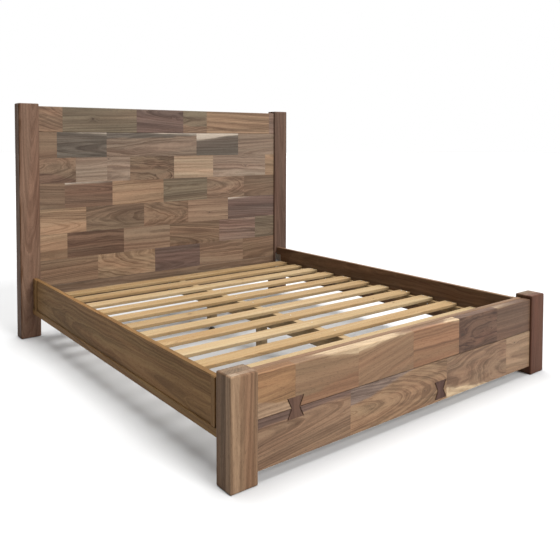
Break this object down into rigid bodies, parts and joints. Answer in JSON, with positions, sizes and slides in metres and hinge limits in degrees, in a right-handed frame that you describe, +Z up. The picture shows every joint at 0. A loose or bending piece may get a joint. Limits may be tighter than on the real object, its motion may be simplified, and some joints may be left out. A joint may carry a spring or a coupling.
{
  "type": "wooden bed frame",
  "caption": "Patchwork hardwood platform bed frame with a tall plank headboard, a low footboard with butterfly keys, hooked side rails, slats and levelling centre legs.",
  "frame": {"origin": "on the floor, at the middle of the bed's width and length", "axes": "+X to the right seen from the foot, +Y towards the headboard, +Z up"},
  "size_m": [2.15, 2.264, 1.465],
  "materials": {
    "post_wood": "brown hardwood, long grain upright, eased edges, satin oil",
    "headboard_wood": "patchwork of brown, grey-brown and tan blocks with lying grain, satin oil",
    "footboard_wood": "patchwork of tan and brown blocks with cream sapwood streaks, satin oil",
    "key_wood": "dark purple-brown hardwood with upright grain",
    "rail_wood": "dark olive-brown hardwood, long grain, satin oil",
    "border_wood": "brown hardwood strip, eased edges, satin oil",
    "backing_wood": "plain brown board, matt",
    "plain_wood": "planed pale softwood, unfinished",
    "zinc_steel": "zinc-plated pressed steel",
    "pad_plastic": "black moulded plastic"
  },
  "bodies": {
    "frame": {"foot_post_left": "post_wood", "head_post_left": "post_wood", "side_rail_left": "rail_wood", "rail_strip_left": "border_wood", "rail_stile_foot_left": "border_wood", "hook_plate_foot_left": "zinc_steel", "post_plate_foot_left": "zinc_steel", "rail_stile_head_left": "border_wood", "hook_plate_head_left": "zinc_steel", "post_plate_head_left": "zinc_steel", "slat_cleat_left": "plain_wood", "key_left": "key_wood", "foot_post_right": "post_wood", "head_post_right": "post_wood", "side_rail_right": "rail_wood", "rail_strip_right": "border_wood", "rail_stile_foot_right": "border_wood", "hook_plate_foot_right": "zinc_steel", "post_plate_foot_right": "zinc_steel", "rail_stile_head_right": "border_wood", "hook_plate_head_right": "zinc_steel", "post_plate_head_right": "zinc_steel", "slat_cleat_right": "plain_wood", "key_right": "key_wood", "head_course_1": "headboard_wood", "head_course_2": "headboard_wood", "head_course_3": "headboard_wood", "head_course_4": "headboard_wood", "head_course_5": "headboard_wood", "head_course_6": "headboard_wood", "head_course_7": "headboard_wood", "head_backing_board": "backing_wood", "head_lower_rail": "headboard_wood", "foot_plank_lower": "footboard_wood", "foot_plank_upper": "footboard_wood", "foot_backing_board": "backing_wood", "slat_01": "plain_wood", "slat_02": "plain_wood", "slat_03": "plain_wood", "slat_04": "plain_wood", "slat_05": "plain_wood", "slat_06": "plain_wood", "slat_07": "plain_wood", "slat_08": "plain_wood", "slat_09": "plain_wood", "slat_10": "plain_wood", "slat_11": "plain_wood", "slat_12": "plain_wood", "centre_beam": "plain_wood", "beam_saddle_foot": "zinc_steel", "beam_saddle_head": "zinc_steel", "centre_leg_1": "plain_wood", "centre_leg_2": "plain_wood", "centre_leg_3": "plain_wood"},
    "pad_1": {"leveller_pad_1": "pad_plastic"},
    "stem_1": {"leveller_stem_1": "zinc_steel"},
    "pad_2": {"leveller_pad_2": "pad_plastic"},
    "stem_2": {"leveller_stem_2": "zinc_steel"},
    "pad_3": {"leveller_pad_3": "pad_plastic"},
    "stem_3": {"leveller_stem_3": "zinc_steel"}
  },
  "joints": [
    {"name": "leveller_1_travel", "type": "slide", "parent": "frame", "child": "pad_1", "axis": [0, 0, -1], "range_m": [0, 0.015]},
    {"name": "leveller_1_turn", "type": "hinge", "parent": "pad_1", "child": "stem_1", "pos_m": [0, -0.52023, 0.02], "axis": [0, 0, -1], "range_deg": [-5, 3605]},
    {"name": "leveller_2_travel", "type": "slide", "parent": "frame", "child": "pad_2", "axis": [0, 0, -1], "range_m": [0, 0.015]},
    {"name": "leveller_2_turn", "type": "hinge", "parent": "pad_2", "child": "stem_2", "pos_m": [0, 0.00465, 0.02], "axis": [0, 0, -1], "range_deg": [-5, 3605]},
    {"name": "leveller_3_travel", "type": "slide", "parent": "frame", "child": "pad_3", "axis": [0, 0, -1], "range_m": [0, 0.015]},
    {"name": "leveller_3_turn", "type": "hinge", "parent": "pad_3", "child": "stem_3", "pos_m": [0, 0.52953, 0.02], "axis": [0, 0, -1], "range_deg": [-5, 3605]}
  ],
  "couplings": [
    {"joint": "leveller_1_turn", "follows": "leveller_1_travel", "rad_per_m": 4188.8},
    {"joint": "leveller_2_turn", "follows": "leveller_2_travel", "rad_per_m": 4188.8},
    {"joint": "leveller_3_turn", "follows": "leveller_3_travel", "rad_per_m": 4188.8}
  ]
}
